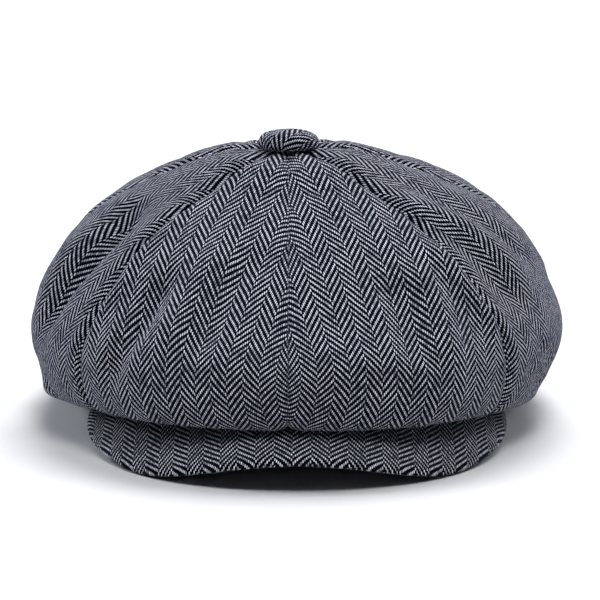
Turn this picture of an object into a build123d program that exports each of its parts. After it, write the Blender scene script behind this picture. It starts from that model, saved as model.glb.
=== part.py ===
from build123d import *
import math
import os

# An eight-panel newsboy cap, lying on a table with the back of its band and the rim of its peak down.
# Millimetres. +Z is up and -Y is the front. Left and right are the wearer's, so left is +X.
# Everything is worked out about the centre of the head opening and moved to the box's bottom centre last.

# Head opening and band
BAND_HALF_WIDTH = 86.0
BAND_HALF_LENGTH = 101.0
BAND_HEIGHT = 24.0
BAND_THICKNESS = 1.8
STIFFENER_THICKNESS = 0.8
SWEATBAND_THICKNESS = 1.0
SWEATBAND_HEIGHT = 25.5
SWEATBAND_SETBACK = 1.0
REST_TILT = 8.0
FIT_GAP = 0.1

# Crown
# Seams of the left half, as azimuths from the centre front
SEAM_AZIMUTHS = (0.0, 45.0, 90.0, 135.0, 180.0)
PANEL_SECTIONS = 5
CROWN_THICKNESS = 1.6
LINING_THICKNESS = 0.8
APEX_X = -4.0
APEX_Y = 3.0
APEX_HEIGHT = 129.0
APEX_HOLE_RADIUS = 3.0

# Peak
PEAK_HALF_WIDTH = 99.5
PEAK_CENTRE_Y = -62.0
PEAK_REACH = 100.0
PEAK_TAIL = ((97.0, -43.0), (89.5, -25.0))
PEAK_TIP_ANGLE = 76.0
PEAK_THICKNESS = 4.0
PEAK_COVER = 1.0
PEAK_BOARD_INSET = 2.2
PEAK_ARC_STATIONS = 6
PEAK_STATIONS = PEAK_ARC_STATIONS + len(PEAK_TAIL)
# Height of the rim's underside above the table at each station, from the centre front to the tip.
PEAK_RIM_HEIGHTS = (11.4, 9.0, 3.6, 0.05, 1.8, 4.2, 7.0, 10.0, 14.0)

# Covered button
BUTTON_RADIUS = 15.5
BUTTON_HEIGHT = 9.5
BUTTON_SKIRT = 2.4
BUTTON_LIFT = 1.0
BUTTON_CLOTH = 1.0
BUTTON_SHELL = 0.6
BUTTON_BACK_THICKNESS = 1.2
BUTTON_BACK_RADIUS = 12.2
SHANK_WIRE_RADIUS = 0.6
SHANK_HALF_WIDTH = 1.8
SHANK_DROP = 2.6
TIE_RADIUS = 1.0
TIE_LENGTH = 5.5
TIE_KNOT_RADIUS = 2.4
PATCH_RADIUS = 12.0
PATCH_THICKNESS = 1.2
PATCH_DROP = 4.4

# Blank woven label on the sweatband at the centre back
LABEL_WIDTH = 16.0
LABEL_HEIGHT = 12.0
LABEL_THICKNESS = 0.5

# Box of the whole cap along Y, from the crown's back to the rim of the peak
CROWN_BACK = 139.0
PEAK_FRONT = PEAK_CENTRE_Y - PEAK_REACH
SHIFT_Y = -(CROWN_BACK + PEAK_FRONT) / 2

# A ring is an oval about the head opening's centre line: half width, front reach, back reach,
# then its height at the front, the sides and the back. The crown slopes down towards the peak.
CROWN_UNDER = (101.0, 123.0, 112.0, 31.5, 20.0, 9.0)
CROWN_FOLD = (115.0, 144.5, 126.0, 23.5, 8.0, 3.5)
CROWN_EQUATOR = (131.5, 151.0, CROWN_BACK, 41.0, 38.0, 38.0)
CROWN_FLANK = (126.5, 130.0, 133.0, 66.0, 64.0, 64.0)
CROWN_HAUNCH = (102.0, 96.0, 108.0, 90.0, 102.0, 101.0)
CROWN_UPPER = (60.0, 58.0, 62.0, 110.0, 122.5, 122.5)
LINING_WAIST = (98.0, 102.0, 111.0, 62.0, 62.0, 50.0)
LINING_HAUNCH = (92.0, 82.0, 99.0, 81.0, 88.0, 86.0)
LINING_UPPER = (54.0, 50.0, 56.0, 101.0, 114.0, 114.5)


def opening_height(y):
    """Height of the head opening's plane, which rises from the back of the band to its front."""
    return (BAND_HALF_LENGTH - y) * math.tan(math.radians(REST_TILT))


def reach_to_oval(azimuth, half_width, front, back):
    """Distance from the apex line to an oval, along an azimuth measured from the front towards +X."""
    dx, dy = math.sin(azimuth), -math.cos(azimuth)
    distance = 0.0
    for half_length in (front, back):
        a = (dx / half_width) ** 2 + (dy / half_length) ** 2
        b = APEX_X * dx / half_width**2 + APEX_Y * dy / half_length**2
        c = (APEX_X / half_width) ** 2 + (APEX_Y / half_length) ** 2 - 1
        distance = (-b + math.sqrt(b * b - a * c)) / a
        if (APEX_Y + distance * dy < 0) == (half_length == front):
            break
    return distance


def ring_point(azimuth, ring):
    """Distance from the apex line and height of a ring at an azimuth."""
    half_width, front, back, z_front, z_side, z_back = ring
    mean = (z_front + z_back) / 4 + z_side / 2
    lean = (z_front - z_back) / 2
    swell = (z_front + z_back) / 4 - z_side / 2
    height = mean + lean * math.cos(azimuth) + swell * math.cos(2 * azimuth)
    return reach_to_oval(azimuth, half_width, front, back), height


def band_point(azimuth, half_width, half_length, height):
    """Distance and height of a point on the band's wall, height being measured from the opening."""
    distance = reach_to_oval(azimuth, half_width, half_length, half_length)
    y = APEX_Y - distance * math.cos(azimuth)
    return distance, opening_height(y) + height


def offset_points(points, thickness):
    """The same profile moved inwards by the cloth's thickness, square to its chords."""
    moved = []
    for i, (r, z) in enumerate(points):
        r0, z0 = points[max(i - 1, 0)]
        r1, z1 = points[min(i + 1, len(points) - 1)]
        length = math.hypot(r1 - r0, z1 - z0)
        moved.append((r - thickness * (z1 - z0) / length, z + thickness * (r1 - r0) / length))
    return moved


def radial_profile(azimuth, outer, hem_inside, thickness):
    """Closed face of a cloth shell in the upright plane through the apex line."""
    inner = offset_points(outer, thickness)
    inner[0] = hem_inside
    inner[-1] = (outer[-1][0], outer[-1][1] - thickness)

    def place(point):
        r, z = point
        return (APEX_X + r * math.sin(azimuth), APEX_Y - r * math.cos(azimuth), z)

    outside = Spline(*[place(p) for p in outer])
    inside = Spline(*[place(p) for p in inner])
    hem = Line(place(outer[0]), place(inner[0]))
    top = Line(place(outer[-1]), place(inner[-1]))
    return make_face(Wire([outside.edge(), top.edge(), inside.edge(), hem.edge()]))


def crown_profile(azimuth):
    r, z = band_point(azimuth, BAND_HALF_WIDTH + FIT_GAP, BAND_HALF_LENGTH + FIT_GAP, BAND_HEIGHT)
    rings = (CROWN_UNDER, CROWN_FOLD, CROWN_EQUATOR, CROWN_FLANK, CROWN_HAUNCH, CROWN_UPPER)
    points = [(r, z - CROWN_THICKNESS)] + [ring_point(azimuth, ring) for ring in rings]
    points.append((APEX_HOLE_RADIUS, APEX_HEIGHT))
    return radial_profile(azimuth, points, (r, z), CROWN_THICKNESS)


def lining_profile(azimuth):
    inset = BAND_THICKNESS + STIFFENER_THICKNESS + 2 * FIT_GAP
    r, z = band_point(azimuth, BAND_HALF_WIDTH - inset, BAND_HALF_LENGTH - inset, BAND_HEIGHT + 3.0)
    rings = (LINING_WAIST, LINING_HAUNCH, LINING_UPPER)
    points = [(r, z)] + [ring_point(azimuth, ring) for ring in rings]
    points.append((APEX_HOLE_RADIUS, APEX_HEIGHT - 6.0))
    return radial_profile(azimuth, points, (r - LINING_THICKNESS, z), LINING_THICKNESS)


def panel(start, end, profile):
    """One panel, lofted through upright profiles from seam to seam."""
    steps = [start + (end - start) * i / (PANEL_SECTIONS - 1) for i in range(PANEL_SECTIONS)]
    return loft([profile(math.radians(azimuth)) for azimuth in steps])


def oval_wall(inset, thickness, bottom, top):
    """A standing oval wall whose lower and upper edges lie parallel to the head opening."""
    outer = Ellipse(BAND_HALF_WIDTH - inset, BAND_HALF_LENGTH - inset)
    inner = Ellipse(BAND_HALF_WIDTH - inset - thickness, BAND_HALF_LENGTH - inset - thickness)
    wall = extrude(outer - inner, amount=BAND_HALF_LENGTH)
    slab_height = (top - bottom) * math.cos(math.radians(REST_TILT))
    slab = Rot(-REST_TILT, 0, 0) * Box(4 * BAND_HALF_WIDTH, 4 * BAND_HALF_LENGTH, slab_height)
    return wall & Pos(0, 0, opening_height(0) + (top + bottom) / 2) * slab


def half_wall(wall, side):
    """The half of a wall on one side of the centre line, for a band cut in two lengths."""
    size = 4 * BAND_HALF_LENGTH
    return wall & Pos(side * size / 2, 0, 0) * Box(size, size, size)


def peak_station(index):
    """Seam point on the band and rim point of the peak at a station, counted from the centre front."""
    side = 1 if index >= 0 else -1
    step = abs(index)
    seam_angle = math.radians(PEAK_TIP_ANGLE * step / PEAK_STATIONS)
    seam_x = (BAND_HALF_WIDTH + FIT_GAP) * math.sin(seam_angle)
    seam_y = -(BAND_HALF_LENGTH + FIT_GAP) * math.cos(seam_angle)
    if step <= PEAK_ARC_STATIONS:
        rim_angle = math.pi / 2 * step / PEAK_ARC_STATIONS
        rim_x = PEAK_HALF_WIDTH * math.sin(rim_angle)
        rim_y = PEAK_CENTRE_Y - PEAK_REACH * math.cos(rim_angle)
    else:
        rim_x, rim_y = PEAK_TAIL[step - PEAK_ARC_STATIONS - 1]
    seam = Vector(side * seam_x, seam_y, opening_height(seam_y))
    rim = Vector(side * rim_x, rim_y, PEAK_RIM_HEIGHTS[step])
    return seam, rim


def peak_face(index, corners):
    """Section of a peak layer at a station. A corner is a setback from the rim and a height."""
    seam, rim = peak_station(index)
    run = (rim - seam).length
    points = []
    for setback, height in corners:
        along = 1.0 if setback is None else setback / run
        points.append(rim + (seam - rim) * along + Vector(0, 0, height))
    return make_face(Polyline(*points, close=True))


def peak_layer(corners):
    stations = range(-PEAK_STATIONS, PEAK_STATIONS + 1)
    return loft([peak_face(i, corners) for i in stations])


def peak_top_cover():
    """Upper cloth, wrapped round the rim down to the under cloth."""
    top, under = PEAK_THICKNESS, PEAK_THICKNESS - PEAK_COVER
    wrap = PEAK_COVER
    return peak_layer([(None, top), (0, top), (0, 0), (wrap, 0), (wrap, under), (None, under)])


def peak_board():
    low, high = PEAK_COVER + FIT_GAP, PEAK_THICKNESS - PEAK_COVER - FIT_GAP
    inset = PEAK_BOARD_INSET
    return peak_layer([(None, high), (inset, high), (inset, low), (None, low)])


def peak_under_cover():
    inset = PEAK_COVER + FIT_GAP
    return peak_layer([(None, PEAK_COVER), (inset, PEAK_COVER), (inset, 0), (None, 0)])


def dome(radius, height, thickness):
    """Domed shell of a covered button, open underneath, with its skirt tucked slightly in."""
    def outline(r, h):
        side = Line((r * 0.9, 0), (r, BUTTON_SKIRT))
        shoulder = Spline((r, BUTTON_SKIRT), (r * 0.9, h * 0.62), (r * 0.55, h * 0.9), (0, h))
        return side, shoulder

    side, shoulder = outline(radius, height)
    inner_side, inner_shoulder = outline(radius - thickness, height - thickness)
    foot = Line((radius * 0.9, 0), ((radius - thickness) * 0.9, 0))
    axis = Line((0, height), (0, height - thickness))
    section = make_face([side, shoulder, axis, inner_shoulder, inner_side, foot])
    return revolve(Plane.XZ * section, axis=Axis.Z)


def at_apex(shape, height):
    return Pos(APEX_X, APEX_Y, APEX_HEIGHT + height) * shape


def button_shank():
    """Wire staple under the button, for the tying thread."""
    w, bend = SHANK_HALF_WIDTH, SHANK_HALF_WIDTH
    down = Line((-w, 0, 0), (-w, 0, -SHANK_DROP + bend))
    turn = ThreePointArc((-w, 0, -SHANK_DROP + bend), (0, 0, -SHANK_DROP), (w, 0, -SHANK_DROP + bend))
    up = Line((w, 0, -SHANK_DROP + bend), (w, 0, 0))
    path = Wire([down.edge(), turn.edge(), up.edge()])
    return sweep(Plane((-w, 0, 0), z_dir=(0, 0, -1)) * Circle(SHANK_WIRE_RADIUS), path)


def button_tie():
    """Tying thread from the shank's bend down through the patch, ending in a knot."""
    stem = Pos(0, 0, -TIE_LENGTH / 2) * Cylinder(TIE_RADIUS, TIE_LENGTH)
    knot = Pos(0, 0, -TIE_LENGTH - TIE_KNOT_RADIUS * 0.8) * Sphere(TIE_KNOT_RADIUS)
    return stem + knot


def apex_patch():
    """Felt disc under the crown's apex, which spreads the button's pull."""
    hole = TIE_RADIUS + FIT_GAP
    return Cylinder(PATCH_RADIUS, PATCH_THICKNESS) - Cylinder(hole, PATCH_THICKNESS * 2)


def size_label():
    """Blank woven tab sewn flat inside the sweatband at the centre back."""
    inset = BAND_THICKNESS + STIFFENER_THICKNESS + SWEATBAND_THICKNESS + 3 * FIT_GAP
    middle = SWEATBAND_SETBACK + SWEATBAND_HEIGHT / 2
    ring = oval_wall(inset, LABEL_THICKNESS, middle - LABEL_HEIGHT / 2, middle + LABEL_HEIGHT / 2)
    size = BAND_HALF_LENGTH
    return ring & Pos(0, size, 0) * Box(LABEL_WIDTH, size, 4 * size)


def build_nodes():
    nodes = {}
    for side, sign in (("left", 1), ("right", -1)):
        for index, place in enumerate(("front", "temple", "side", "back")):
            start, end = sign * SEAM_AZIMUTHS[index], sign * SEAM_AZIMUTHS[index + 1]
            nodes[f"crown_panel_{place}_{side}"] = panel(start, end, crown_profile)
            nodes[f"lining_panel_{place}_{side}"] = panel(start, end, lining_profile)

    band = oval_wall(0, BAND_THICKNESS, 0, BAND_HEIGHT)
    nodes["band_left"] = half_wall(band, 1)
    nodes["band_right"] = half_wall(band, -1)
    inset = BAND_THICKNESS + FIT_GAP
    nodes["band_stiffener"] = oval_wall(inset, STIFFENER_THICKNESS, SWEATBAND_SETBACK, BAND_HEIGHT - 1)
    inset += STIFFENER_THICKNESS + FIT_GAP
    top = SWEATBAND_SETBACK + SWEATBAND_HEIGHT
    nodes["sweatband"] = oval_wall(inset, SWEATBAND_THICKNESS, SWEATBAND_SETBACK, top)
    nodes["size_label"] = size_label()

    nodes["peak_top_cover"] = peak_top_cover()
    nodes["peak_board"] = peak_board()
    nodes["peak_under_cover"] = peak_under_cover()

    foot = BUTTON_LIFT
    nodes["button_cover"] = at_apex(dome(BUTTON_RADIUS, BUTTON_HEIGHT, BUTTON_CLOTH), foot)
    shell_radius = BUTTON_RADIUS - BUTTON_CLOTH - FIT_GAP
    shell_height = BUTTON_HEIGHT - BUTTON_CLOTH - FIT_GAP
    nodes["button_shell"] = at_apex(dome(shell_radius, shell_height, BUTTON_SHELL), foot)
    back = Pos(0, 0, BUTTON_BACK_THICKNESS / 2) * Cylinder(BUTTON_BACK_RADIUS, BUTTON_BACK_THICKNESS)
    nodes["button_back"] = at_apex(back, foot)
    nodes["button_shank"] = at_apex(button_shank(), foot)
    shank_low = foot - SHANK_DROP - SHANK_WIRE_RADIUS
    nodes["button_tie"] = at_apex(button_tie(), shank_low)
    nodes["apex_patch"] = at_apex(apex_patch(), -PATCH_DROP - PATCH_THICKNESS / 2)
    return nodes


os.makedirs("parts", exist_ok=True)
for name, shape in build_nodes().items():
    placed = Pos(0, SHIFT_Y, 0) * shape
    placed.label = name
    export_step(placed, f"parts/{name}.step")
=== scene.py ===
import math

import bpy
import numpy as np
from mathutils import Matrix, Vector, noise


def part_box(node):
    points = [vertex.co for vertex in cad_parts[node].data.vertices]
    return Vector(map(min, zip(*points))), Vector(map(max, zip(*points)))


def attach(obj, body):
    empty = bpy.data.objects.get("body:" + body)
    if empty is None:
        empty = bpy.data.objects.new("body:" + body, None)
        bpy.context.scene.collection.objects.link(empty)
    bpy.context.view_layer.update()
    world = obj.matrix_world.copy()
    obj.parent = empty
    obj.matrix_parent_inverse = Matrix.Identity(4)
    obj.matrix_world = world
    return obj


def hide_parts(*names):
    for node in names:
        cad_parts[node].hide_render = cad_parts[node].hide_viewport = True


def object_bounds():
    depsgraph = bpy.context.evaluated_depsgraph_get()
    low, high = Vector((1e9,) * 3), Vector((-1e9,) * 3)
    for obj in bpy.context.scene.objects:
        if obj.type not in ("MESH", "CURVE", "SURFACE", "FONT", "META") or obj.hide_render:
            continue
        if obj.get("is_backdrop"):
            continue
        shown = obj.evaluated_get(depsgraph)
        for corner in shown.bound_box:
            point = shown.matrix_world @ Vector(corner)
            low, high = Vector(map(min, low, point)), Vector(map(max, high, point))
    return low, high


# An eight-panel herringbone newsboy cap, lying on a table with its peak towards -Y.
# Shapes are worked out in millimetres about the centre of the head opening, and then put in the row frame.

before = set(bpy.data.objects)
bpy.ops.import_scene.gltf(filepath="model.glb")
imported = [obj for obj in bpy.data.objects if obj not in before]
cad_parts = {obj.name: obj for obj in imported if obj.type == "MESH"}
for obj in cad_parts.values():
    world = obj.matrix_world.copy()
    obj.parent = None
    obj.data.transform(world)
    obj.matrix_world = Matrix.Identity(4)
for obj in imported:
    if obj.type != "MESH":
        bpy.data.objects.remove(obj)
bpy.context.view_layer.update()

# ---------------------------------------------------------------- shape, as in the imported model
SHIFT_Y = 11.5  # from the centre of the head opening to the row frame's origin
APEX_X, APEX_Y, APEX_HEIGHT, APEX_HOLE = -4.0, 3.0, 129.0, 3.0
BAND_HALF_WIDTH, BAND_HALF_LENGTH, BAND_HEIGHT, BAND_THICKNESS = 86.0, 101.0, 24.0, 1.8
REST_TILT = math.radians(8.0)
FIT_GAP = 0.1
SEAMS = (0.0, 45.0, 90.0, 135.0, 180.0)
PLACES = ("front", "temple", "side", "back")
CROWN_RINGS = (
    (101.0, 123.0, 112.0, 31.5, 20.0, 9.0),
    (115.0, 144.5, 126.0, 23.5, 8.0, 3.5),
    (131.5, 151.0, 139.0, 41.0, 38.0, 38.0),
    (126.5, 130.0, 133.0, 66.0, 64.0, 64.0),
    (102.0, 96.0, 108.0, 90.0, 102.0, 101.0),
    (60.0, 58.0, 62.0, 110.0, 122.5, 122.5),
)
LINING_RINGS = (
    (98.0, 102.0, 111.0, 62.0, 62.0, 50.0),
    (92.0, 82.0, 99.0, 81.0, 88.0, 86.0),
    (54.0, 50.0, 56.0, 101.0, 114.0, 114.5),
)
CROWN_CLOTH, LINING_CLOTH = 1.4, 0.5
SWEATBAND_INSET = BAND_THICKNESS + 0.8 + 2 * FIT_GAP
PEAK_HALF_WIDTH, PEAK_CENTRE_Y, PEAK_REACH, PEAK_THICKNESS = 99.5, -62.0, 100.0, 4.0
PEAK_TAIL = ((97.0, -43.0), (89.5, -25.0))
PEAK_TIP_ANGLE, PEAK_ARC_STATIONS, PEAK_STATIONS = 76.0, 6, 8
PEAK_RIM_HEIGHTS = (11.4, 9.0, 3.6, 0.05, 1.8, 4.2, 7.0, 10.0, 14.0)
BUTTON_RADIUS, BUTTON_HEIGHT, BUTTON_SKIRT, BUTTON_LIFT = 15.5, 9.5, 2.4, 1.0

# ---------------------------------------------------------------- folds of the crown
# Each fold: height over the smooth crown (a valley is negative), half width, then azimuth and height of its
# line from top to bottom. Azimuths run from the centre front towards the wearer's left.
FOLDS = (
    (-12.0, 10.5, ((-68, 114), (-65, 108), (-62, 98), (-62, 84), (-64, 69), (-65, 53), (-67, 40))),
    (1.8, 6.5, ((-49, 114), (-45, 100), (-43, 84), (-43, 68), (-44, 50))),
    (1.2, 13.0, ((-77, 98), (-77, 84), (-78, 66), (-79, 54))),
    (-4.0, 18.0, ((-94, 84), (-92, 70), (-92, 50), (-94, 34))),
    (1.6, 18.0, ((86, 98), (88, 84), (88, 66))),
    (-3.0, 7.5, ((-12, 98), (-12, 87), (-14, 76), (-15, 65), (-17, 57), (-18, 47))),
    (2.8, 9.0, ((-20, 98), (-21, 80), (-22, 64), (-24, 48))),
    (-4.6, 6.5, ((-28, 88), (-30, 76), (-31, 62), (-33, 48), (-36, 31))),
    (-3.2, 9.0, ((22, 86), (24, 74), (24, 62), (23, 46))),
    (2.8, 8.0, ((32, 92), (32, 74), (31, 58), (30, 42))),
    (3.6, 7.5, ((38, 100), (41, 84), (43, 68), (47, 50))),
    (-2.6, 8.0, ((46, 110), (50, 96), (52, 80), (55, 60))),
    (3.0, 9.0, ((49, 116), (56, 102), (60, 86), (62, 66))),
    (-2.8, 8.0, ((60, 118), (64, 107), (68, 92), (72, 72))),
    (-3.0, 4.5, ((55, 50), (62, 38), (68, 30))),
    (-3.0, 4.5, ((50, 38), (60, 27), (67, 19))),
    (3.0, 6.0, ((-60, 26), (-66, 20), (-72, 20))),
    (-4.5, 13.0, ((64, 20), (80, 20), (98, 22))),
    (-3.5, 13.0, ((-66, 18), (-80, 20), (-98, 22))),
    (-5.5, 10.0, ((104, 106), (110, 86), (112, 64), (110, 42))),
    (4.0, 11.0, ((124, 108), (126, 84), (124, 54))),
    (-5.0, 9.0, ((152, 104), (156, 82), (160, 58), (158, 40))),
    (3.6, 10.0, ((170, 106), (168, 82), (168, 56))),
    (-5.5, 10.0, ((-102, 108), (-108, 88), (-106, 64), (-110, 42))),
    (4.0, 11.0, ((-122, 106), (-120, 80), (-124, 56))),
    (-5.2, 9.0, ((-150, 106), (-148, 84), (-154, 60), (-152, 42))),
    (3.6, 10.0, ((-168, 104), (-170, 78), (-166, 54))),
)
FOLD_TAPER, FOLD_TIP = 0.22, 0.12  # a fold fades over this share of its line, to this share of its height
PUFF = 2.2  # how far a panel's middle stands out from its seams
SETTLE = 1.5  # how far the cloth has sunk inside the smooth crown
# Lift of the shoulders by distance from the apex: the top stands up round the button, the shoulders sink.
SHOULDER = (
    (0, 12, 33, 48, 60, 78, 90, 100, 112, 120),
    (0, 2.4, 3.4, 0.9, -1.5, -2.8, -2.4, -1.8, -0.6, 0),
)
SEAM_DIPS = ((2.2, 1.3), (1.3, 5.0))  # depth and width of the crease and of the dip about it
SEAM_ALLOWANCE_LIFT, ALLOWANCE_MIDDLE, ALLOWANCE_WIDTH = 0.5, 5.5, 3.0
# Unevenness of the cloth: its height, the size of its lumps, and its seed.
UNEVENNESS = ((0.9, 34, 2.0), (0.45, 13, 5.0))

# ---------------------------------------------------------------- weave
END_PITCH, PICK_PITCH = 0.00076, 0.00112  # metres from one warp end, or weft pick, to the next
ENDS_PER_COLUMN = 10
BREAK = 3  # cells that the twill jumps where it turns about, so that light meets dark


def row_frame(point):
    return Vector((point[0], point[1] + SHIFT_Y, point[2])) / 1000


def opening_height(y):
    return (BAND_HALF_LENGTH - y) * math.tan(REST_TILT)


def reach_to_oval(azimuth, half_width, front, back):
    dx, dy = math.sin(azimuth), -math.cos(azimuth)
    distance = 0.0
    for half_length in (front, back):
        a = (dx / half_width) ** 2 + (dy / half_length) ** 2
        b = APEX_X * dx / half_width**2 + APEX_Y * dy / half_length**2
        c = (APEX_X / half_width) ** 2 + (APEX_Y / half_length) ** 2 - 1
        distance = (-b + math.sqrt(b * b - a * c)) / a
        if (APEX_Y + distance * dy < 0) == (half_length == front):
            break
    return distance


def ring_point(azimuth, ring):
    half_width, front, back, z_front, z_side, z_back = ring
    mean = (z_front + z_back) / 4 + z_side / 2
    lean = (z_front - z_back) / 2
    swell = (z_front + z_back) / 4 - z_side / 2
    height = mean + lean * math.cos(azimuth) + swell * math.cos(2 * azimuth)
    return reach_to_oval(azimuth, half_width, front, back), height


def band_point(azimuth, inset, height):
    reach = reach_to_oval(azimuth, BAND_HALF_WIDTH - inset, *[BAND_HALF_LENGTH - inset] * 2)
    return reach, opening_height(APEX_Y - reach * math.cos(azimuth)) + height


def smooth_line(points, samples):
    """Evenly spaced points on the natural cubic spline through the given points, and its length."""
    points = np.asarray(points, float)
    t = np.concatenate([[0], np.cumsum(np.linalg.norm(np.diff(points, axis=0), axis=1))])
    n, h = len(t), np.diff(t)
    system, right = np.eye(n), np.zeros_like(points)
    for i in range(1, n - 1):
        system[i, i - 1 : i + 2] = h[i - 1], 2 * (h[i - 1] + h[i]), h[i]
        right[i] = 6 * ((points[i + 1] - points[i]) / h[i] - (points[i] - points[i - 1]) / h[i - 1])
    bend = np.linalg.solve(system, right)
    at = np.linspace(0, t[-1], 8 * samples)
    k = np.clip(np.searchsorted(t, at, side="right") - 1, 0, n - 2)
    after, before, step = (t[k + 1] - at)[:, None], (at - t[k])[:, None], h[k][:, None]
    line = (bend[k] * after**3 + bend[k + 1] * before**3) / (6 * step)
    line += (points[k] / step - bend[k] * step / 6) * after
    line += (points[k + 1] / step - bend[k + 1] * step / 6) * before
    along = np.concatenate([[0], np.cumsum(np.linalg.norm(np.diff(line, axis=0), axis=1))])
    even = np.linspace(0, along[-1], samples)
    return np.stack([np.interp(even, along, c) for c in line.T], 1), along[-1]


def crown_meridian(azimuth, samples):
    reach, height = band_point(azimuth, -FIT_GAP, BAND_HEIGHT)
    points = [(reach, height - 1.6)] + [ring_point(azimuth, ring) for ring in CROWN_RINGS]
    return smooth_line(points + [(APEX_HOLE, APEX_HEIGHT)], samples)


def lining_meridian(azimuth, samples):
    reach, height = band_point(azimuth, SWEATBAND_INSET, BAND_HEIGHT + 3.0)
    points = [(reach, height)] + [ring_point(azimuth, ring) for ring in LINING_RINGS]
    return smooth_line(points + [(APEX_HOLE, APEX_HEIGHT - 6.0)], samples)


def place(azimuth, line):
    """Points of a meridian in the table frame."""
    r, z = line[:, 0], line[:, 1]
    return np.stack([APEX_X + r * math.sin(azimuth), APEX_Y - r * math.cos(azimuth), z], 1)


def wander(points, size, seed):
    """Smooth unevenness from -1 to 1 at each point, with lumps of the given size in millimetres."""
    return np.array([noise.noise(Vector(p) / size + Vector((seed, 3.7 * seed, 1.9))) for p in points])


def distance_to_line(points, line):
    """Distance of each point from a line of points, and how far along the line it is, from 0 to 1."""
    best, share = np.full(len(points), 1e9), np.zeros(len(points))
    lengths = np.linalg.norm(np.diff(line, axis=0), axis=1)
    start = 0.0
    for a, b, length in zip(line[:-1], line[1:], lengths):
        t = np.clip((points - a) @ (b - a) / max(length**2, 1e-9), 0, 1)
        d = np.linalg.norm(points - a - t[:, None] * (b - a), axis=1)
        closer = d < best
        best[closer], share[closer] = d[closer], (start + t[closer] * length) / lengths.sum()
        start += length
    return best, share


def make_mesh(name, points, faces, uvs=None):
    """A piece from points in the table frame, with a UV map in metres of cloth, one UV to a point."""
    mesh = bpy.data.meshes.new(name)
    mesh.from_pydata([row_frame(p) for p in points], [], faces)
    if uvs is not None:
        layer = mesh.uv_layers.new(name="cloth")
        index = np.empty(len(mesh.loops), int)
        mesh.loops.foreach_get("vertex_index", index)
        layer.data.foreach_set("uv", np.asarray(uvs, float)[index].ravel())
    mesh.shade_smooth()
    obj = bpy.data.objects.new(name, mesh)
    bpy.context.scene.collection.objects.link(obj)
    return obj


def grid_faces(rows, columns, flip=False):
    faces = []
    for i in range(rows - 1):
        for j in range(columns - 1):
            quad = (i * columns + j, i * columns + j + 1, (i + 1) * columns + j + 1, (i + 1) * columns + j)
            faces.append(quad[::-1] if flip else quad)
    return faces


def turned_faces(rings, turns, closed=False):
    """Faces between the rings of a turned piece; a closed one joins its last ring to its first."""
    faces = []
    for i in range(rings if closed else rings - 1):
        j = (i + 1) % rings
        for k in range(turns):
            m = (k + 1) % turns
            faces.append((i * turns + k, i * turns + m, j * turns + m, j * turns + k))
    return faces


def thicken(obj, millimetres):
    """Thickness of the cloth, added on its inner side."""
    solid = obj.modifiers.new("cloth thickness", "SOLIDIFY")
    solid.thickness, solid.offset, solid.use_even_offset = millimetres / 1000, -1.0, True


def finish_piece(obj, material, slot, *nodes):
    obj.data.materials.append(material)
    if nodes:
        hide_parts(*nodes)
    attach(obj, "root")
    return obj


# ---------------------------------------------------------------- materials
class Nodes:
    """Short calls for making a material's nodes."""

    def __init__(self, tree):
        self.tree = tree

    def add(self, kind, **settings):
        node = self.tree.nodes.new(kind)
        for key, value in settings.items():
            setattr(node, key, value)
        return node

    def plug(self, source, socket):
        if isinstance(source, (int, float, tuple)):
            socket.default_value = source
        else:
            self.tree.links.new(source, socket)

    def math(self, operation, *values, clamp=False):
        node = self.add("ShaderNodeMath", operation=operation, use_clamp=clamp)
        for value, socket in zip(values, node.inputs):
            self.plug(value, socket)
        return node.outputs[0]

    def colour(self, mix, a, b, blend="MIX"):
        node = self.add("ShaderNodeMix", data_type="RGBA", blend_type=blend)
        self.plug(mix, node.inputs[0])
        self.plug(a, node.inputs[6])
        self.plug(b, node.inputs[7])
        return node.outputs[2]

    def ramp(self, value, low, high, to_low=0.0, to_high=1.0):
        node = self.add("ShaderNodeMapRange", interpolation_type="SMOOTHSTEP")
        for source, socket in zip((value, low, high, to_low, to_high), node.inputs):
            self.plug(source, socket)
        return node.outputs[0]

    def noise(self, vector, scale, detail=2.0, dimensions="3D"):
        node = self.add("ShaderNodeTexNoise", noise_dimensions=dimensions)
        self.plug(vector, node.inputs["Vector"])
        node.inputs["Scale"].default_value = scale
        node.inputs["Detail"].default_value = detail
        return node.outputs[0]

    def combine(self, x, y, z=0.0):
        node = self.add("ShaderNodeCombineXYZ")
        for value, socket in zip((x, y, z), node.inputs):
            self.plug(value, socket)
        return node.outputs[0]

    def bump(self, height, distance, strength=1.0, normal=None):
        node = self.add("ShaderNodeBump")
        node.inputs["Strength"].default_value = strength
        node.inputs["Distance"].default_value = distance
        self.plug(height, node.inputs["Height"])
        if normal is not None:
            self.plug(normal, node.inputs["Normal"])
        return node.outputs[0]


def new_material(name, roughness, sheen=0.0, sheen_tint=(1, 1, 1, 1), metallic=0.0, specular=0.3):
    material = bpy.data.materials.new(name)
    material.use_nodes = True
    tree = material.node_tree
    shader = next(n for n in tree.nodes if n.type == "BSDF_PRINCIPLED")
    shader.inputs["Roughness"].default_value = roughness
    shader.inputs["Metallic"].default_value = metallic
    shader.inputs["Specular IOR Level"].default_value = specular
    shader.inputs["Sheen Weight"].default_value = sheen
    shader.inputs["Sheen Roughness"].default_value = 0.28
    shader.inputs["Sheen Tint"].default_value = sheen_tint
    return material, Nodes(tree), shader


# Yarn colours: the lightest and darkest warp, and the darkest and lightest weft.
WARP_LIGHT, WARP_GREY = (0.86, 0.875, 1.0, 1), (0.13, 0.14, 0.22, 1)
WEFT_BLACK, WEFT_NAVY = (0.0005, 0.0006, 0.002, 1), (0.004, 0.005, 0.013, 1)
SHEEN_TINT = (0.55, 0.7, 1, 1)


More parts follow.
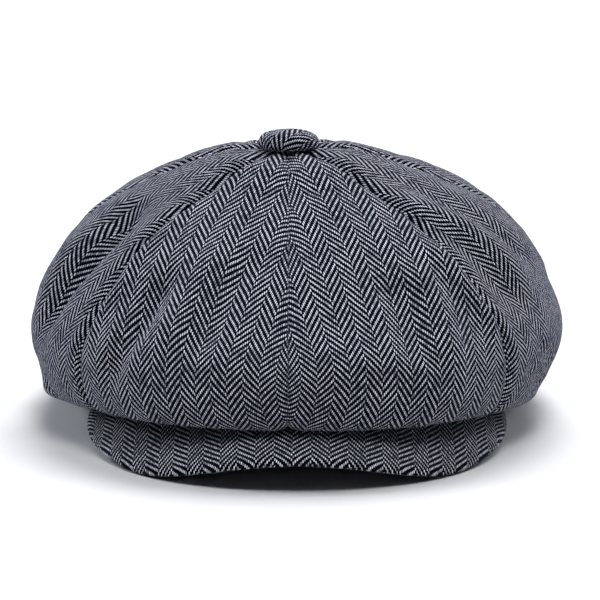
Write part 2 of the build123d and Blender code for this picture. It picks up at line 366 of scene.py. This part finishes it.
def herringbone(name, turn=0.0, shift=0.0, light=WARP_LIGHT):
    """Wool herringbone: a 2/2 twill of light warp over dark weft that turns about every ten ends."""
    material, n, shader = new_material(name, 0.9, sheen=0.13, sheen_tint=SHEEN_TINT, specular=0.02)
    uv = n.add("ShaderNodeUVMap", uv_map="cloth").outputs[0]
    place_in_weave = n.add("ShaderNodeMapping")
    place_in_weave.inputs["Rotation"].default_value = (0, 0, turn)
    place_in_weave.inputs["Location"].default_value = (shift, 0, 0)
    n.plug(uv, place_in_weave.inputs["Vector"])
    uv = place_in_weave.outputs[0]

    # The yarns wander a little, and each pick and end varies in thickness.
    drift = n.add("ShaderNodeSeparateXYZ")
    wobble = n.add("ShaderNodeTexNoise")
    n.plug(uv, wobble.inputs["Vector"])
    wobble.inputs["Scale"].default_value = 260
    wobble.inputs["Detail"].default_value = 1
    n.plug(wobble.outputs["Color"], drift.inputs[0])
    across = n.add("ShaderNodeSeparateXYZ")
    n.plug(uv, across.inputs[0])
    u = n.math("ADD", n.math("DIVIDE", across.outputs[0], END_PITCH),
               n.math("MULTIPLY", n.math("SUBTRACT", drift.outputs[0], 0.5), 0.7))
    v = n.math("ADD", n.math("DIVIDE", across.outputs[1], PICK_PITCH),
               n.math("MULTIPLY", n.math("SUBTRACT", drift.outputs[1], 0.5), 0.5))
    end, pick = n.math("FLOOR", u), n.math("FLOOR", v)
    in_end, in_pick = n.math("FRACT", u), n.math("FRACT", v)

    # Which way the twill runs in this column, and where the cell is in the four-cell repeat.
    column = n.math("FLOOR", n.math("DIVIDE", end, ENDS_PER_COLUMN))
    odd = n.math("FLOORED_MODULO", column, 2)
    way = n.math("SUBTRACT", 1, n.math("MULTIPLY", odd, 2))
    step = n.math("SUBTRACT", pick, n.math("MULTIPLY", way, end))
    step = n.math("ADD", step, n.math("MULTIPLY", odd, BREAK))
    cell = n.math("FLOORED_MODULO", n.math("ADD", step, 0.5), 4)
    cell = n.math("FLOOR", cell)
    weft_up = n.math("GREATER_THAN", cell, 1.5)

    # Rounded floats: the warp runs two picks, and the weft two ends.
    across_warp = n.math("ABSOLUTE", n.math("SUBTRACT", n.math("MULTIPLY", in_end, 2), 1))
    along_warp = n.math("ABSOLUTE", n.math("SUBTRACT", n.math("ADD", cell, in_pick), 1))
    across_weft = n.math("ABSOLUTE", n.math("SUBTRACT", n.math("MULTIPLY", in_pick, 2), 1))
    weft_forward = n.math("ADD", n.math("SUBTRACT", cell, 2), in_end)
    weft_back = n.math("ADD", n.math("SUBTRACT", 3, cell), in_end)
    weft_along = n.math("ADD", n.math("MULTIPLY", odd, weft_forward),
                        n.math("MULTIPLY", n.math("SUBTRACT", 1, odd), weft_back))
    along_weft = n.math("ABSOLUTE", n.math("SUBTRACT", weft_along, 1))

    def rounded(side, length):
        crown = n.math("SUBTRACT", 1, n.math("POWER", side, 1.8))
        ends = n.math("SUBTRACT", 1, n.math("POWER", length, 3.0))
        return n.math("MULTIPLY", crown, ends, clamp=True)

    warp_height = n.math("MULTIPLY", rounded(across_warp, along_warp), n.math("SUBTRACT", 1, weft_up))
    weft_height = n.math("MULTIPLY", rounded(across_weft, along_weft), weft_up)
    height = n.math("ADD", warp_height, n.math("MULTIPLY", weft_height, 0.75))

    # Colour: each end has its own shade, fibres mottle it, and where a warp float rounds off or dives its
    # colour goes over to the dark weft: partly weft seen between the yarns, partly painted shade in the
    # dips.
    along_end = n.combine(n.math("MULTIPLY", end, 7.13), n.math("MULTIPLY", pick, 0.35))
    end_shade = n.noise(along_end, 1.0, 1.0)
    fibres = n.noise(uv, 2600, 3.0)
    patches = n.noise(uv, 55, 3.0)
    lightness = n.math("ADD", n.math("MULTIPLY", end_shade, 0.55), n.math("MULTIPLY", fibres, 0.7))
    lightness = n.math("ADD", lightness, n.math("MULTIPLY", patches, 0.35))
    dash = n.add("ShaderNodeTexWhiteNoise", noise_dimensions="2D")
    repeat = n.math("FLOOR", n.math("DIVIDE", n.math("ADD", step, 0.5), 4))
    n.plug(n.combine(end, repeat), dash.inputs["Vector"])
    lightness = n.math("ADD", lightness, n.math("MULTIPLY", dash.outputs["Value"], 0.45))
    warp_colour = n.colour(n.ramp(lightness, 0.55, 1.3), WARP_GREY, light)
    weft_colour = n.colour(n.ramp(fibres, 0.45, 0.75), WEFT_BLACK, WEFT_NAVY)
    # Painted shade: the warp's colour darkens to the weft's as its height falls, at the float's edges and
    # ends.
    warp_cover_and_painted_shade = n.math("MULTIPLY", n.ramp(warp_height, 0.27, 0.7), n.math("SUBTRACT", 1, weft_up))
    base = n.colour(warp_cover_and_painted_shade, weft_colour, warp_colour)
    n.plug(base, shader.inputs["Base Color"])
    fuzz = n.math("ADD", height, n.math("MULTIPLY", fibres, 0.5))
    n.plug(n.bump(fuzz, 0.00035, 0.8), shader.inputs["Normal"])
    n.plug(n.ramp(fibres, 0.3, 0.7, 0.75, 0.98), shader.inputs["Roughness"])
    return material


def plain_cloth(name, low, high, pitch, roughness, sheen, bump=0.00006, rib=0.0, uv_map="cloth"):
    """Plain-woven cloth, or tape with ribs, with its yarns drawn from the cloth's own UV map."""
    material, n, shader = new_material(name, roughness, sheen=sheen, specular=0.4)
    uv = n.add("ShaderNodeUVMap", uv_map=uv_map).outputs[0]
    split = n.add("ShaderNodeSeparateXYZ")
    n.plug(uv, split.inputs[0])
    warp = n.math("SINE", n.math("MULTIPLY", split.outputs[0], 2 * math.pi / pitch))
    weft = n.math("SINE", n.math("MULTIPLY", split.outputs[1], 2 * math.pi / pitch))
    if rib:
        weave = n.math("SINE", n.math("MULTIPLY", split.outputs[0], 2 * math.pi / rib))
        weave = n.math("ADD", weave, n.math("MULTIPLY", weft, 0.35))
    else:
        weave = n.math("MULTIPLY", warp, weft)
    fibres = n.noise(uv, 1800, 3.0)
    shade = n.math("ADD", n.math("MULTIPLY", weave, 0.25), fibres)
    n.plug(n.colour(n.ramp(shade, 0.2, 0.85), low, high), shader.inputs["Base Color"])
    n.plug(n.bump(n.math("ADD", weave, fibres), bump, 0.7), shader.inputs["Normal"])
    n.plug(n.ramp(fibres, 0.3, 0.7, roughness - 0.08, min(roughness + 0.1, 1)), shader.inputs["Roughness"])
    return material


def surface_noise_material(name, low, high, scale, roughness, metallic=0.0, bump=0.00004, sheen=0.0):
    """Felt, board or metal, with its grain drawn from the position in the object."""
    material, n, shader = new_material(name, roughness, sheen=sheen, metallic=metallic, specular=0.4)
    where = n.add("ShaderNodeTexCoord").outputs["Object"]
    coarse, fine = n.noise(where, scale * 0.12, 3.0), n.noise(where, scale, 4.0)
    shade = n.math("ADD", n.math("MULTIPLY", coarse, 0.5), n.math("MULTIPLY", fine, 0.5))
    n.plug(n.colour(n.ramp(shade, 0.35, 0.65), low, high), shader.inputs["Base Color"])
    n.plug(n.bump(fine, bump, 0.7), shader.inputs["Normal"])
    n.plug(n.ramp(coarse, 0.3, 0.7, roughness - 0.08, roughness + 0.08), shader.inputs["Roughness"])
    return material


TWEED = herringbone("tweed_crown")
TWEED_BIAS = herringbone("tweed_button", turn=math.radians(38))
# The peak is cut from the crown's cloth; its lighter warp is painted light, standing in for more light
# falling on the peak.
TWEED_PEAK_PAINTED_LIGHTER = herringbone("tweed_peak_painted_lighter", shift=0.0038, light=(0.9, 0.915, 1.0, 1))
LINING = plain_cloth(
    "lining_satin", low=(0.008, 0.008, 0.01, 1), high=(0.03, 0.03, 0.036, 1),
    pitch=0.0004, roughness=0.38, sheen=0.2)
TAPE = plain_cloth(
    "sweatband_grosgrain", low=(0.006, 0.006, 0.008, 1), high=(0.025, 0.025, 0.03, 1),
    pitch=0.0005, roughness=0.6, sheen=0.3, bump=0.00015, rib=0.0011)
CANVAS = plain_cloth(
    "stiffener_buckram", low=(0.015, 0.015, 0.018, 1), high=(0.06, 0.06, 0.066, 1),
    pitch=0.0011, roughness=0.8, sheen=0.1, bump=0.0002)
LABEL = plain_cloth(
    "label_satin", low=(0.62, 0.62, 0.6, 1), high=(0.84, 0.84, 0.81, 1),
    pitch=0.0003, roughness=0.45, sheen=0.2)
THREAD = surface_noise_material(
    "dark_thread", low=(0.008, 0.008, 0.011, 1), high=(0.05, 0.052, 0.065, 1),
    scale=4200, roughness=0.8, sheen=0.3)
FELT = surface_noise_material(
    "wool_felt", low=(0.05, 0.05, 0.055, 1), high=(0.15, 0.15, 0.16, 1),
    scale=2600, roughness=0.9, bump=0.0003, sheen=0.4)
BOARD = surface_noise_material(
    "peak_board_plastic", low=(0.7, 0.7, 0.67, 1), high=(0.84, 0.84, 0.82, 1),
    scale=900, roughness=0.5)
TIN = surface_noise_material(
    "button_tin", low=(0.5, 0.5, 0.51, 1), high=(0.74, 0.74, 0.75, 1),
    scale=1500, roughness=0.34, metallic=1.0)
STEEL = surface_noise_material(
    "shank_steel", low=(0.45, 0.45, 0.46, 1), high=(0.68, 0.68, 0.69, 1),
    scale=2500, roughness=0.28, metallic=1.0)

# ---------------------------------------------------------------- crown
ACROSS, ALONG = 69, 161
# Points stand closer together beside the seams.
EVEN = np.linspace(0, 1, ACROSS)
SHARE = 0.4 * EVEN + 0.6 * (1 - np.cos(math.pi * EVEN)) / 2


def fold_line(knots):
    """The fold's line on the smooth crown, from its azimuths and heights."""
    line = []
    for azimuth, height in knots:
        points = place(math.radians(azimuth), crown_meridian(math.radians(azimuth), 160)[0])
        lowest = int(points[:100, 2].argmin())
        above = lowest + int(np.abs(points[lowest:, 2] - height).argmin())
        line.append(points[above])
    return smooth_line(line, 24)[0]


FOLD_LINES = [(lift, width, fold_line(knots)) for lift, width, knots in FOLDS]


def crown_grid(start, end):
    """Points of one panel, hem to apex and seam to seam, the way each faces, and its cloth lengths."""
    azimuths = np.radians(start + (end - start) * SHARE)
    columns, lengths = [], []
    for azimuth in azimuths:
        line, length = crown_meridian(azimuth, ALONG)
        columns.append(place(azimuth, line))
        lengths.append(length)
    points = np.stack(columns, 1)
    up = np.gradient(points, axis=0)
    side = np.gradient(points, axis=1)
    if end > start:
        normals = np.cross(side, up)
    else:
        normals = np.cross(up, side)
    normals /= np.linalg.norm(normals, axis=2, keepdims=True)
    return points, normals, np.array(lengths)


def shaped(points, normals, start, end):
    """The panel with its puff, its seam edges and the folds that the cap lies in."""
    share = SHARE[None, :] * np.ones((ALONG, 1))
    height_share = np.linspace(0, 1, ALONG)[:, None] * np.ones((1, ACROSS))
    width = np.linalg.norm(np.diff(points, axis=1), axis=2).sum(1)[:, None]
    from_seam = np.minimum(share, 1 - share) * width
    reach = np.hypot(points[..., 0] - APEX_X, points[..., 1] - APEX_Y)
    window = np.clip((height_share - 0.13) / 0.16, 0, 1) * np.clip((reach - 8) / 50, 0, 1)
    window = window * window * (3 - 2 * window)
    lift = (PUFF * (1 - (2 * share - 1) ** 2) ** 0.9 - SETTLE) * window
    depth = np.where(share < 0.5, seam_depth(start), seam_depth(end))
    near_top = np.clip((reach - 4) / 14, 0.15, 1)
    sideways = ((points[..., 0] - APEX_X) / np.maximum(reach, 1)) ** 2
    shoulder = np.interp(reach, *SHOULDER) * (height_share > 0.35)
    lift += np.where(shoulder > 0, shoulder, shoulder * (0.25 + 0.75 * sideways))
    for dip, dip_width in SEAM_DIPS:
        lift -= dip * depth * near_top * np.exp(-from_seam / dip_width)
    ridge = ((from_seam - ALLOWANCE_MIDDLE) / ALLOWANCE_WIDTH) ** 2
    lift += SEAM_ALLOWANCE_LIFT * near_top * np.exp(-ridge)
    flat = points.reshape(-1, 3)
    folds = np.zeros(len(flat))
    for amount, half_width, line in FOLD_LINES:
        distance, along = distance_to_line(flat, line)
        taper = np.clip(np.minimum(along, 1 - along) / FOLD_TAPER, FOLD_TIP, 1)
        folds += amount * taper * np.exp(-((distance / half_width) ** 2))
    uneven = sum(amount * wander(flat, size, seed) for amount, size, seed in UNEVENNESS)
    lift += folds.reshape(lift.shape) + uneven.reshape(lift.shape) * window
    hem = np.clip(height_share / 0.06, 0, 1)
    return points + normals * (lift * hem)[..., None]


def seam_depth(azimuth):
    """Share of the full seam dip: the centre front is pressed flatter, and the sides are drawn in less."""
    if azimuth == 0:
        return 0.5
    return 1 - 0.35 * math.sin(math.radians(azimuth)) ** 4


TURN_HEIGHT = 130  # how far up a panel its cloth is turned about
CLOTH_MIDDLE = (76, 190)  # where that point lies on the UV map


def cloth_map(points, lengths, front, turn, ease_in):
    """UVs in metres, as the panel lay when it was cut: columns run along its middle, and picks across."""
    half = np.linalg.norm(np.diff(points, axis=1), axis=2).sum(1) / 2
    share = np.linspace(0, 1, ALONG)
    step = lengths.mean() / (ALONG - 1)
    stretch = np.interp(share, *(FRONT_STRETCH if front else SIDE_STRETCH))
    along = np.concatenate([[0], np.cumsum((stretch[1:] + stretch[:-1]) / 2 * step)])
    taper = -np.gradient(half) / step
    side = 2 * SHARE - 1
    ease = 1.0 + 0.06 * np.clip((0.75 - share) / 0.4, 0, 1)
    u = side[None, :] * (half * ease)[:, None]
    v = along[:, None] + 0.5 * (half * taper * stretch)[:, None] * side[None, :] ** 2
    a = math.radians(turn)
    u, v = u * ease_in, v * ease_in
    above = v - TURN_HEIGHT
    u, v = (u * math.cos(a) - above * math.sin(a) + CLOTH_MIDDLE[0],
            u * math.sin(a) + above * math.cos(a) + CLOTH_MIDDLE[1])
    return np.stack([u, v], 2).reshape(-1, 2) / 1000


# How much cloth lies along a panel, from hem to apex: the lower crown is eased in, the top drawn up.
FRONT_STRETCH = ((0.0, 0.3, 0.5, 0.7, 0.85, 1.0), (1.22, 1.22, 1.0, 0.93, 0.85, 0.75))
SIDE_STRETCH = ((0.0, 0.3, 0.6, 1.0), (1.08, 1.08, 1.0, 0.92))
# How far each panel's cloth is turned from its middle line, in degrees.
GRAIN_TURN = {"front_left": 6.0, "front_right": 5.0, "temple_left": 3.0, "temple_right": -4.0}
# How closely the cloth was eased together in each panel that puffs out over the temples.
EASE_IN = {"temple_left": 1.1, "temple_right": 1.12}

for side, sign in (("left", 1), ("right", -1)):
    for index, spot in enumerate(PLACES):
        start, end = sign * SEAMS[index], sign * SEAMS[index + 1]
        smooth, normals, lengths = crown_grid(start, end)
        points = shaped(smooth, normals, start, end)
        panel_name = f"{spot}_{side}"
        turn, ease_in = GRAIN_TURN.get(panel_name, 0.0), EASE_IN.get(panel_name, 1.0)
        uvs = cloth_map(smooth, lengths, spot == "front", turn, ease_in)
        name = f"crown_panel_{panel_name}"
        faces = grid_faces(ALONG, ACROSS, sign < 0)
        panel = make_mesh(f"{name}_cloth", points.reshape(-1, 3), faces, uvs)
        thicken(panel, CROWN_CLOTH)
        finish_piece(panel, TWEED, "tweed", name)

# ---------------------------------------------------------------- lining
LINING_ACROSS, LINING_ALONG = 33, 61
for side, sign in (("left", 1), ("right", -1)):
    for index, spot in enumerate(PLACES):
        start, end = sign * SEAMS[index], sign * SEAMS[index + 1]
        columns, lengths = [], []
        for azimuth in np.radians(np.linspace(start, end, LINING_ACROSS)):
            line, length = lining_meridian(azimuth, LINING_ALONG)
            columns.append(place(azimuth, line))
            lengths.append(length)
        points = np.stack(columns, 1)
        share = np.linspace(0, 1, LINING_ACROSS)
        height_share = np.linspace(0, 1, LINING_ALONG)[:, None]
        outward = points - np.array([APEX_X, APEX_Y, 40.0])
        outward /= np.linalg.norm(outward, axis=2, keepdims=True)
        pleat = 0.9 * np.sin(share * 2 * math.pi * 5) * np.clip(1 - height_share / 0.35, 0, 1)
        billow = -2.0 * np.sin(height_share * math.pi) * (2 * share - 1) ** 6
        flat = points.reshape(-1, 3)
        crease = 1.1 * wander(flat, 16, 11.0).reshape(LINING_ALONG, LINING_ACROSS)
        crease = crease * np.sin(height_share * math.pi)
        points = points + outward * (np.minimum(pleat, 0) + billow - np.abs(crease))[..., None]
        width = np.linalg.norm(np.diff(points, axis=1), axis=2).sum(1)
        u = (share[None, :] - 0.5) * width[:, None] + 80
        v = height_share * np.mean(lengths) * np.ones((1, LINING_ACROSS))
        uvs = np.stack([u, v], 2).reshape(-1, 2) / 1000
        name = f"lining_panel_{spot}_{side}"
        faces = grid_faces(LINING_ALONG, LINING_ACROSS, sign < 0)
        cloth = make_mesh(f"{name}_cloth", points.reshape(-1, 3), faces, uvs)
        thicken(cloth, LINING_CLOTH)
        finish_piece(cloth, LINING, "lining_cloth", name)

# ---------------------------------------------------------------- band, stiffener, sweatband and label


def oval_strip(name, inset, thickness, bottom, top, start, end, steps, rise=14, roll=0.5, ripple=0.0):
    """A standing strip of cloth round the head opening, with rounded edges, between two azimuths."""
    loop = []
    for k in range(rise + 1):
        loop.append((0.0, bottom + (top - bottom) * k / rise))
    for k in range(1, 6):
        a = math.pi * k / 6
        loop.append((thickness / 2 * (1 - math.cos(a)), top + roll * math.sin(a)))
    for k in range(rise + 1):
        loop.append((thickness, top - (top - bottom) * k / rise))
    for k in range(1, 6):
        a = math.pi * k / 6
        loop.append((thickness / 2 * (1 + math.cos(a)), bottom - roll * math.sin(a)))
    steps_round = [math.dist(a, b) for a, b in zip(loop, loop[1:] + loop[:1])]
    around = np.concatenate([[0], np.cumsum(steps_round)])
    points, uvs, along, last = [], [], 0.0, None
    closed = abs(end - start) >= 360
    for i in range(steps + 1):
        angle = math.radians(start + (end - start) * i / steps)
        here = ((BAND_HALF_WIDTH - inset) * math.sin(angle),
                -(BAND_HALF_LENGTH - inset) * math.cos(angle))
        along += math.dist(here, last) if last else 0.0
        last = here
        wave = ripple * math.sin(angle * 23)
        for depth, height in loop + loop[:1]:
            rx = BAND_HALF_WIDTH - inset - depth + wave
            ry = BAND_HALF_LENGTH - inset - depth + wave
            x, y = rx * math.sin(angle), -ry * math.cos(angle)
            points.append((x, y, opening_height(y) + height))
        uvs += [((along + 20) / 1000, (a + 5) / 1000) for a in around]
    size = len(loop) + 1
    faces = grid_faces(steps + 1, size)
    if not closed:
        faces += [tuple(range(size - 1))[::-1], tuple(steps * size + k for k in range(size - 1))]
    return make_mesh(name, points, faces, uvs)


for side, (start, end) in (("left", (0.3, 179.7)), ("right", (180.3, 359.7))):
    band = oval_strip(f"band_{side}_cloth", 0, BAND_THICKNESS, 0.5, BAND_HEIGHT - 0.5, start, end, 180)
    finish_piece(band, TWEED, "tweed", f"band_{side}")
stiffener = oval_strip(
    "stiffener_strip", BAND_THICKNESS + FIT_GAP, 0.8, 1.2, 22.8, 0, 360, 200, roll=0.2)
finish_piece(stiffener, CANVAS, "stiffener_canvas", "band_stiffener")
sweatband = oval_strip(
    "sweatband_tape", BAND_THICKNESS + 1.0, 1.0, 1.4, 26.1, 0, 360, 260, roll=0.4, ripple=0.05)
finish_piece(sweatband, TAPE, "sweatband_tape", "sweatband")
label = oval_strip(
    "blank_label_tab", BAND_THICKNESS + 2.12, 0.5, 7.9, 19.6, 174.7, 185.3, 16, roll=0.15)
finish_piece(label, LABEL, "label_cloth", "size_label")

# ---------------------------------------------------------------- peak


def peak_curve(samples):
    """Seam and rim lines of the peak from the wearer's right to the left, by station."""
    seams, rims = [], []
    for index in range(-PEAK_STATIONS, PEAK_STATIONS + 1):
        side, step = (1 if index >= 0 else -1), abs(index)
        angle = math.radians(PEAK_TIP_ANGLE * step / PEAK_STATIONS)
        x = (BAND_HALF_WIDTH + FIT_GAP) * math.sin(angle)
        y = -(BAND_HALF_LENGTH + FIT_GAP) * math.cos(angle)
        seams.append((side * x, y, opening_height(y)))
        if step <= PEAK_ARC_STATIONS:
            turn = math.pi / 2 * step / PEAK_ARC_STATIONS
            rim_x = PEAK_HALF_WIDTH * math.sin(turn)
            rim_y = PEAK_CENTRE_Y - PEAK_REACH * math.cos(turn)
        else:
            rim_x, rim_y = PEAK_TAIL[step - PEAK_ARC_STATIONS - 1]
        rims.append((side * rim_x, rim_y, PEAK_RIM_HEIGHTS[step]))
    both = np.concatenate([np.array(seams), np.array(rims)], 1)
    line = smooth_line(both, samples)[0]
    return line[:, :3], line[:, 3:]


PEAK_ACROSS = 221
# How the peak's cloth was eased over the board, as cloth to the millimetre: across at the middle, its growth
# with the square of the distance from there in units of 100 mm, from front to back, and down the rim.
PEAK_EASE, PEAK_EASE_GROWTH, PEAK_EASE_BACK, PEAK_EASE_RIM = 0.93, 0.24, 1.28, 1.1
SEAM_LINE, RIM_LINE = peak_curve(PEAK_ACROSS)


def peak_layer(name, section, material, slot, node, shift=0.0):
    """A layer of the peak. A section point is a setback from the rim, or a share of the run, and a height.

    The shift moves the weave sideways.
    """
    points, uvs = [], []
    for seam, rim in zip(SEAM_LINE, RIM_LINE):
        run = np.linalg.norm(rim - seam)
        inward = (seam - rim) / run
        ring = []
        for kind, setback, height in section:
            back = setback if kind == "rim" else setback * run
            bulge = 1.2 * math.sin(math.pi * min(max(back / run, 0), 1)) if height > 2 else 0.0
            p = rim + inward * back + np.array([0, 0, height + bulge])
            ring.append(p)
            across = p[0] * (PEAK_EASE + PEAK_EASE_GROWTH * (p[0] / 100) ** 2)
            back_along = PEAK_EASE_BACK * p[1] + PEAK_EASE_RIM * height
            uvs.append(((across + 150 + shift) / 1000, (300 + back_along) / 1000))
        points += ring
    size = len(section)
    faces = grid_faces(PEAK_ACROSS, size)
    faces += [tuple(range(size)), tuple((PEAK_ACROSS - 1) * size + j for j in range(size))[::-1]]
    faces += [(k * size + size - 1, k * size, (k + 1) * size, (k + 1) * size + size - 1)
              for k in range(PEAK_ACROSS - 1)]
    return finish_piece(make_mesh(name, points, faces, uvs), material, slot, node)


def peak_top_section():
    """Upper cloth over the board and round the rim, ending in a folded edge underneath."""
    top = PEAK_THICKNESS
    section = [("run", 1 - k / 22, top) for k in range(22)]
    section = [(kind, s, h) for kind, s, h in section if s > 0.04]
    section += [("rim", top / 2 * (1 - math.sin(a)), top / 2 * (1 + math.cos(a)))
                for a in np.linspace(0.12, math.pi - 0.1, 12)]
    section += [("rim", 3.4, 0.0), ("rim", 3.6, 0.5), ("rim", 3.2, 0.95)]
    section += [("rim", 1.4, 1.2), ("rim", 1.1, 2.0)]
    section += [("rim", 1.6, top - 1), ("run", 0.5, top - 1), ("run", 1.0, top - 1)]
    return section


peak_layer("peak_top_cloth", peak_top_section(), TWEED_PEAK_PAINTED_LIGHTER, "tweed", "peak_top_cover")
under = [("run", 1 - k / 20, 0.98) for k in range(20)]
under += [("rim", 3.9, 0.98), ("rim", 3.75, 0.5), ("rim", 3.9, 0.05)]
under += [("run", k / 20, 0.05) for k in range(2, 21)]
peak_layer("peak_under_cloth", under, TWEED_PEAK_PAINTED_LIGHTER, "tweed", "peak_under_cover", shift=6.0)

# ---------------------------------------------------------------- covered button
BUTTON_TURNS, BUTTON_STEPS = 96, 40
BUTTON_CLOTH = 0.8


def button_outline():
    """Radius and height of the covered button from its tucked-in skirt to its top."""
    h, r = BUTTON_HEIGHT, BUTTON_RADIUS
    knots = [(r, BUTTON_SKIRT), (r * 0.9, h * 0.62), (r * 0.55, h * 0.9), (0.01, h)]
    shoulder = smooth_line(knots, BUTTON_STEPS)[0]
    skirt = [(r * 0.78, 0.15), (r * 0.86, -0.1), (r * 0.93, 0.3), (r * 0.98, 1.2)]
    return np.array(skirt + [tuple(p) for p in shoulder])


outline = button_outline()
travel = np.concatenate([[0], np.cumsum(np.linalg.norm(np.diff(outline, axis=0), axis=1))])
points, uvs = [], []
for (r, h), along in zip(outline, travel[-1] - travel):
    for k in range(BUTTON_TURNS):
        angle = 2 * math.pi * k / BUTTON_TURNS
        gather = 0.35 * math.sin(angle * 14 + 0.6 * math.sin(3 * angle)) * max(0.0, 1 - h / 4.5)
        out = r + gather * min(1.0, r / 8)
        points.append((APEX_X + out * math.sin(angle), APEX_Y - out * math.cos(angle),
                       APEX_HEIGHT + BUTTON_LIFT + h + 0.15 * math.sin(3 * angle) * r / 15))
        uvs.append(((40 + along * math.sin(angle)) / 1000, (40 - along * math.cos(angle)) / 1000))
button = make_mesh("button_cloth", points, turned_faces(len(outline), BUTTON_TURNS), uvs)
thicken(button, BUTTON_CLOTH)
finish_piece(button, TWEED_BIAS, "tweed", "button_cover")

# Hidden hardware keeps its CAD shape.
HIDDEN = (("button_shell", TIN), ("button_back", TIN), ("button_shank", STEEL), ("peak_board", BOARD))
for node, material in HIDDEN:
    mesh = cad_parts[node].data
    mesh.materials.clear()
    mesh.materials.append(material)

# ---------------------------------------------------------------- patch and tie under the button
low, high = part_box("apex_patch")
PATCH_MIDDLE = (low + high) / 2
patch_points = []
PATCH_TURNS = 96
patch_outline = [(1.15, -0.5), (6.0, -0.6), (11.0, -0.6), (12.0, -0.25)]
patch_outline += [(12.0, 0.25), (11.0, 0.6), (6.0, 0.6), (1.15, 0.5)]
for r, h in patch_outline:
    for k in range(PATCH_TURNS):
        angle = 2 * math.pi * k / PATCH_TURNS
        pinked = 0.5 * abs(((k / 4) % 1) - 0.5) if r > 11.5 else 0.0
        out = r - pinked
        patch_points.append((PATCH_MIDDLE.x * 1000 + out * math.sin(angle),
                             PATCH_MIDDLE.y * 1000 - SHIFT_Y - out * math.cos(angle),
                             PATCH_MIDDLE.z * 1000 + h))
patch_faces = [(a, d, c, b) for a, b, c, d in turned_faces(len(patch_outline), PATCH_TURNS, closed=True)]
finish_piece(make_mesh("apex_felt_disc", patch_points, patch_faces), FELT, "felt", "apex_patch")

low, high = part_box("button_tie")
tie_points, TIE_TURNS, TIE_STEPS = [], 24, 40
tie_height = (high.z - low.z) * 1000
knot = 2.4
for i in range(TIE_STEPS + 1):
    z = high.z * 1000 - tie_height * i / TIE_STEPS
    from_knot = z - (low.z * 1000 + knot)
    r = math.sqrt(max(knot**2 - from_knot**2, 0.0)) if abs(from_knot) < knot else 0.0
    r = max(r, 0.98 if from_knot > 0 else 0.02)
    for k in range(TIE_TURNS):
        angle = 2 * math.pi * k / TIE_TURNS
        strand = 1 - 0.09 * abs(math.sin(1.5 * angle + z * 1.6))
        tie_points.append((APEX_X + r * strand * math.sin(angle),
                           APEX_Y - r * strand * math.cos(angle), z))
tie = make_mesh("button_tie_thread", tie_points, turned_faces(TIE_STEPS + 1, TIE_TURNS))
finish_piece(tie, THREAD, "tying_thread", "button_tie")

# ---------------------------------------------------------------- floor, light and camera
scene = bpy.context.scene
scene.view_settings.view_transform = "Standard"
FLOOR_SIZE, WALL_RADIUS, WALL_HEIGHT, WALL_BELOW_FLOOR = 14.0, 6.9, 8.0, 0.1

bpy.ops.mesh.primitive_plane_add(size=FLOOR_SIZE, location=(0, 0, 0))
floor = bpy.context.active_object
floor.name = "studio_floor"
floor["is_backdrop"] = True
material, n, shader = new_material("white_sweep", 0.55, specular=0.3)
shader.inputs["Base Color"].default_value = (0.83, 0.83, 0.84, 1)
floor.data.materials.append(material)

# A pale wall all round, seen where the floor ends; it gives no light to the cap.
bpy.ops.mesh.primitive_cylinder_add(
    vertices=128, radius=WALL_RADIUS, depth=WALL_HEIGHT, end_fill_type="NOTHING",
    location=(0, 0, WALL_HEIGHT / 2 - WALL_BELOW_FLOOR))
backdrop = bpy.context.active_object
backdrop.name = "studio_backdrop"
material, n, shader = new_material("pale_wall", 0.9, specular=0.0)
shader.inputs["Base Color"].default_value = (0, 0, 0, 1)
shader.inputs["Emission Color"].default_value = (0.955, 0.955, 0.97, 1)
shader.inputs["Emission Strength"].default_value = 1.0
backdrop.data.materials.append(material)
backdrop.visible_shadow = backdrop.visible_diffuse = backdrop.visible_glossy = False
backdrop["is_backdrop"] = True

world = bpy.data.worlds.new("studio")
scene.world = world
world.use_nodes = True
background = world.node_tree.nodes["Background"]
background.inputs[0].default_value = (0.93, 0.945, 0.98, 1)
background.inputs[1].default_value = 0.03


def soft_light(name, azimuth, elevation, spread, strength, colour=(1, 1, 1)):
    """A far, wide light. Azimuth 0 is at the front and 90 on the wearer's left."""
    lamp = bpy.data.lights.new(name, "SUN")
    lamp.angle, lamp.energy, lamp.color = math.radians(spread), strength, colour
    obj = bpy.data.objects.new(name, lamp)
    scene.collection.objects.link(obj)
    a, e = math.radians(azimuth), math.radians(elevation)
    towards = Vector((math.sin(a) * math.cos(e), -math.cos(a) * math.cos(e), math.sin(e)))
    obj.rotation_euler = towards.to_track_quat("Z", "Y").to_euler()
    return obj


soft_light("overhead_softbox", 168, 56, 36, 2.8)
soft_light("front_softbox", 14, 70, 20, 1.15)
soft_light("left_softbox", 98, 42, 26, 0.8, (0.9, 0.94, 1.0))
soft_light("right_softbox", -96, 38, 26, 1.3, (0.88, 0.93, 1.0))

camera = bpy.data.cameras.new("camera")
camera.sensor_width, camera.lens = 36.0, 132.0  # millimetres
eye = bpy.data.objects.new("camera", camera)
scene.collection.objects.link(eye)
ELEVATION, DISTANCE = math.radians(11.0), 1.1
LOOK_AT = Vector((0.0, 0.0115, 0.054))
back = Vector((0, -math.cos(ELEVATION), math.sin(ELEVATION)))
eye.location = LOOK_AT + back * DISTANCE
eye.rotation_euler = (-back).to_track_quat("-Z", "Y").to_euler()
camera.shift_x, camera.shift_y = 3 / 600, 0.0
scene.camera = eye

low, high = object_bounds()
